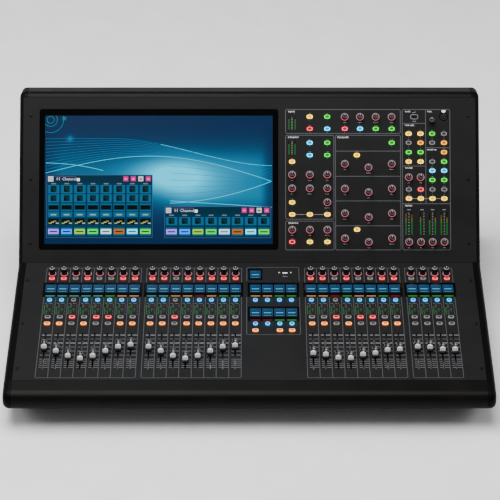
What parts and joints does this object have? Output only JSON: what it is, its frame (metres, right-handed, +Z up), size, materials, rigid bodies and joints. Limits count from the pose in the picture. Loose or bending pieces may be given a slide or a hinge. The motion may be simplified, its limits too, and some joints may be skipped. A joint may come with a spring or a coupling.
{
  "type": "mixing console",
  "caption": "Digital audio mixing console: sloping fader deck with button and knob strips under a steep bridge with a wide screen and a control section.",
  "frame": {"origin": "on the floor, at the centre of the bounding box", "axes": "+X to the operator's right, +Y from the operator to the rear, +Z up"},
  "size_m": [0.962, 0.7389, 0.4135],
  "materials": {
    "cheek_plastic": "moulded, satin",
    "pan_steel": "powder coat",
    "bolster_paint": "satin paint",
    "cowl_paint": "satin paint",
    "rear_paint": "powder coat",
    "panel_paint": "fine satin powder coat",
    "screen_glass": "glossy, lit from behind",
    "module_frame": "plated",
    "window_glass": "glossy, dark",
    "rail_steel": "plated",
    "motor_can": "plated",
    "encoder_plastic": "moulded",
    "knob_plastic": "soft satin",
    "board_laminate": "solder mask",
    "supply_case": "brushed",
    "socket_plastic": "moulded",
    "fan_plastic": "moulded",
    "foot_rubber": "matt",
    "screw_steel": "black oxide",
    "assign_key": "translucent, lit",
    "select_key": "translucent, lit",
    "mute_key": "translucent",
    "solo_key": "translucent, lit",
    "bridge_key": "translucent, lit",
    "rocker_plastic": "gloss",
    "fader_plastic": "satin"
  },
  "bodies": {
    "console": {"side_cheek_left": "cheek_plastic", "side_cheek_right": "cheek_plastic", "base_pan": "pan_steel", "front_bolster": "bolster_paint", "top_cowl": "cowl_paint", "rear_panel": "rear_paint", "fader_panel": "panel_paint", "bridge_panel": "panel_paint", "display_glass": "screen_glass", "display_module": "module_frame", "strip_display_windows": "window_glass", "fader_rails": "rail_steel", "fader_motors": "motor_can", "encoder_bodies": "encoder_plastic", "encoder_knobs": "knob_plastic", "circuit_boards": "board_laminate", "power_supply": "supply_case", "rear_sockets": "socket_plastic", "panel_sockets": "socket_plastic", "fan_frame": "fan_plastic", "feet": "foot_rubber", "screws": "screw_steel"},
    "assign_buttons": {"assign_buttons": "assign_key"},
    "select_buttons": {"select_buttons": "select_key"},
    "mute_buttons": {"mute_buttons": "mute_key"},
    "solo_buttons": {"solo_buttons": "solo_key"},
    "bridge_buttons": {"bridge_buttons": "bridge_key"},
    "fan_rotor": {"fan_rotor": "fan_plastic"},
    "power_rocker": {"power_rocker": "rocker_plastic"},
    "talkback_level_knob": {"talkback_level_knob": "knob_plastic"},
    "phones_a_knob": {"phones_a_knob": "knob_plastic"},
    "phones_b_knob": {"phones_b_knob": "knob_plastic"},
    "fader_01": {"fader_01": "fader_plastic"},
    "fader_02": {"fader_02": "fader_plastic"},
    "fader_03": {"fader_03": "fader_plastic"},
    "fader_04": {"fader_04": "fader_plastic"},
    "fader_05": {"fader_05": "fader_plastic"},
    "fader_06": {"fader_06": "fader_plastic"},
    "fader_07": {"fader_07": "fader_plastic"},
    "fader_08": {"fader_08": "fader_plastic"},
    "fader_09": {"fader_09": "fader_plastic"},
    "fader_10": {"fader_10": "fader_plastic"},
    "fader_11": {"fader_11": "fader_plastic"},
    "fader_12": {"fader_12": "fader_plastic"},
    "fader_13": {"fader_13": "fader_plastic"},
    "fader_14": {"fader_14": "fader_plastic"},
    "fader_15": {"fader_15": "fader_plastic"},
    "fader_16": {"fader_16": "fader_plastic"},
    "fader_17": {"fader_17": "fader_plastic"},
    "fader_18": {"fader_18": "fader_plastic"},
    "fader_19": {"fader_19": "fader_plastic"},
    "fader_20": {"fader_20": "fader_plastic"},
    "fader_21": {"fader_21": "fader_plastic"},
    "fader_22": {"fader_22": "fader_plastic"},
    "fader_23": {"fader_23": "fader_plastic"},
    "fader_24": {"fader_24": "fader_plastic"},
    "fader_25": {"fader_25": "fader_plastic"},
    "fader_26": {"fader_26": "fader_plastic"},
    "fader_27": {"fader_27": "fader_plastic"},
    "fader_28": {"fader_28": "fader_plastic"}
  },
  "joints": [
    {"name": "fader_01_slide", "type": "slide", "parent": "console", "child": "fader_01", "axis": [0, 0.9945, 0.1045], "range_m": [-0.061, 0.039]},
    {"name": "fader_02_slide", "type": "slide", "parent": "console", "child": "fader_02", "axis": [0, 0.9945, 0.1045], "range_m": [-0.048, 0.052]},
    {"name": "fader_03_slide", "type": "slide", "parent": "console", "child": "fader_03", "axis": [0, 0.9945, 0.1045], "range_m": [-0.033, 0.067]},
    {"name": "fader_04_slide", "type": "slide", "parent": "console", "child": "fader_04", "axis": [0, 0.9945, 0.1045], "range_m": [-0.025, 0.075]},
    {"name": "fader_05_slide", "type": "slide", "parent": "console", "child": "fader_05", "axis": [0, 0.9945, 0.1045], "range_m": [-0.033, 0.067]},
    {"name": "fader_06_slide", "type": "slide", "parent": "console", "child": "fader_06", "axis": [0, 0.9945, 0.1045], "range_m": [-0.048, 0.052]},
    {"name": "fader_07_slide", "type": "slide", "parent": "console", "child": "fader_07", "axis": [0, 0.9945, 0.1045], "range_m": [-0.061, 0.039]},
    {"name": "fader_08_slide", "type": "slide", "parent": "console", "child": "fader_08", "axis": [0, 0.9945, 0.1045], "range_m": [-0.067, 0.033]},
    {"name": "fader_09_slide", "type": "slide", "parent": "console", "child": "fader_09", "axis": [0, 0.9945, 0.1045], "range_m": [-0.061, 0.039]},
    {"name": "fader_10_slide", "type": "slide", "parent": "console", "child": "fader_10", "axis": [0, 0.9945, 0.1045], "range_m": [-0.048, 0.052]},
    {"name": "fader_11_slide", "type": "slide", "parent": "console", "child": "fader_11", "axis": [0, 0.9945, 0.1045], "range_m": [-0.033, 0.067]},
    {"name": "fader_12_slide", "type": "slide", "parent": "console", "child": "fader_12", "axis": [0, 0.9945, 0.1045], "range_m": [-0.025, 0.075]},
    {"name": "fader_13_slide", "type": "slide", "parent": "console", "child": "fader_13", "axis": [0, 0.9945, 0.1045], "range_m": [-0.033, 0.067]},
    {"name": "fader_14_slide", "type": "slide", "parent": "console", "child": "fader_14", "axis": [0, 0.9945, 0.1045], "range_m": [-0.048, 0.052]},
    {"name": "fader_15_slide", "type": "slide", "parent": "console", "child": "fader_15", "axis": [0, 0.9945, 0.1045], "range_m": [-0.061, 0.039]},
    {"name": "fader_16_slide", "type": "slide", "parent": "console", "child": "fader_16", "axis": [0, 0.9945, 0.1045], "range_m": [-0.065, 0.035]},
    {"name": "fader_17_slide", "type": "slide", "parent": "console", "child": "fader_17", "axis": [0, 0.9945, 0.1045], "range_m": [-0.041, 0.059]},
    {"name": "fader_18_slide", "type": "slide", "parent": "console", "child": "fader_18", "axis": [0, 0.9945, 0.1045], "range_m": [-0.037, 0.063]},
    {"name": "fader_19_slide", "type": "slide", "parent": "console", "child": "fader_19", "axis": [0, 0.9945, 0.1045], "range_m": [-0.027, 0.073]},
    {"name": "fader_20_slide", "type": "slide", "parent": "console", "child": "fader_20", "axis": [0, 0.9945, 0.1045], "range_m": [-0.026, 0.074]},
    {"name": "fader_21_slide", "type": "slide", "parent": "console", "child": "fader_21", "axis": [0, 0.9945, 0.1045], "range_m": [-0.037, 0.063]},
    {"name": "fader_22_slide", "type": "slide", "parent": "console", "child": "fader_22", "axis": [0, 0.9945, 0.1045], "range_m": [-0.041, 0.059]},
    {"name": "fader_23_slide", "type": "slide", "parent": "console", "child": "fader_23", "axis": [0, 0.9945, 0.1045], "range_m": [-0.051, 0.049]},
    {"name": "fader_24_slide", "type": "slide", "parent": "console", "child": "fader_24", "axis": [0, 0.9945, 0.1045], "range_m": [-0.053, 0.047]},
    {"name": "fader_25_slide", "type": "slide", "parent": "console", "child": "fader_25", "axis": [0, 0.9945, 0.1045], "range_m": [-0.061, 0.039]},
    {"name": "fader_26_slide", "type": "slide", "parent": "console", "child": "fader_26", "axis": [0, 0.9945, 0.1045], "range_m": [-0.0595, 0.0405]},
    {"name": "fader_27_slide", "type": "slide", "parent": "console", "child": "fader_27", "axis": [0, 0.9945, 0.1045], "range_m": [-0.053, 0.047]},
    {"name": "fader_28_slide", "type": "slide", "parent": "console", "child": "fader_28", "axis": [0, 0.9945, 0.1045], "range_m": [-0.053, 0.047]},
    {"name": "assign_buttons_press", "type": "slide", "parent": "console", "child": "assign_buttons", "axis": [0, 0.1045, -0.9945], "range_m": [0, 0.0012], "stiffness_N_per_m": 2500, "springref_m": -0.0005},
    {"name": "select_buttons_press", "type": "slide", "parent": "console", "child": "select_buttons", "axis": [0, 0.1045, -0.9945], "range_m": [0, 0.0012], "stiffness_N_per_m": 2500, "springref_m": -0.0005},
    {"name": "mute_buttons_press", "type": "slide", "parent": "console", "child": "mute_buttons", "axis": [0, 0.1045, -0.9945], "range_m": [0, 0.0012], "stiffness_N_per_m": 2500, "springref_m": -0.0005},
    {"name": "solo_buttons_press", "type": "slide", "parent": "console", "child": "solo_buttons", "axis": [0, 0.1045, -0.9945], "range_m": [0, 0.0012], "stiffness_N_per_m": 2500, "springref_m": -0.0005},
    {"name": "bridge_buttons_press", "type": "slide", "parent": "console", "child": "bridge_buttons", "axis": [0, 0.809, -0.5878], "range_m": [0, 0.0012], "stiffness_N_per_m": 2500, "springref_m": -0.0005},
    {"name": "fan_spin", "type": "hinge", "parent": "console", "child": "fan_rotor", "pos_m": [-0.3, 0.35949, 0.12], "axis": [0, 1, 0], "continuous": true},
    {"name": "power_rocker_tilt", "type": "hinge", "parent": "console", "child": "power_rocker", "pos_m": [-0.36, 0.36349, 0.09], "axis": [-1, 0, 0], "range_deg": [0, 16]},
    {"name": "phones_a_knob_turn", "type": "hinge", "parent": "console", "child": "phones_a_knob", "pos_m": [0.3326, 0.15241, 0.27141], "axis": [0, -0.809, 0.5878], "continuous": true},
    {"name": "phones_b_knob_turn", "type": "hinge", "parent": "console", "child": "phones_b_knob", "pos_m": [0.3573, 0.15241, 0.27141], "axis": [0, -0.809, 0.5878], "continuous": true},
    {"name": "talkback_level_knob_turn", "type": "hinge", "parent": "console", "child": "talkback_level_knob", "pos_m": [0.3805, 0.22236, 0.36768], "axis": [0, -0.809, 0.5878], "range_deg": [-150, 150]}
  ]
}
